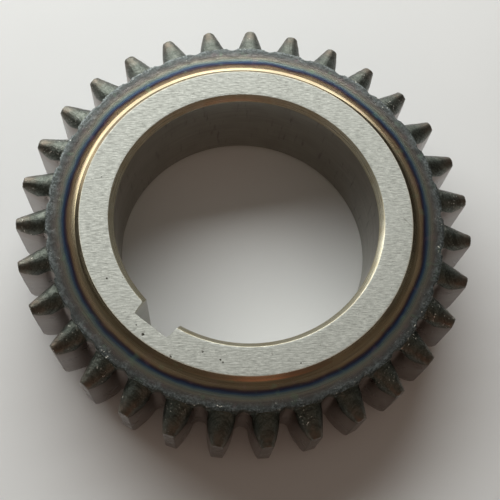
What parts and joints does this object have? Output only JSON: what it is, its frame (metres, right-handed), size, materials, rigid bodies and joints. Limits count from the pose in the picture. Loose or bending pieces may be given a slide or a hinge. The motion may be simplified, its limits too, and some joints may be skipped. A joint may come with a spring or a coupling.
{
  "type": "spur gear",
  "caption": "Straight-cut steel gear ring with a wide plain bore, a square keyway, slightly raised ground hub faces and rounded tooth ends on its upper side.",
  "frame": {"origin": "on the bore axis, in the lower hub face, which is the face that the gear lies on", "axes": "+Z along the bore axis towards the side with the rounded tooth ends; the keyway points along -Y from the axis"},
  "size_m": [0.0903, 0.0904, 0.02],
  "materials": {
    "gear_steel": "ground bright on the hub faces and in the bore, heat-tinted straw, purple and blue round the rim, dark grey-green scale on the rounded tooth ends, satin grey on the flanks"
  },
  "bodies": {
    "root": {"spur_gear": "gear_steel"}
  },
  "joints": []
}
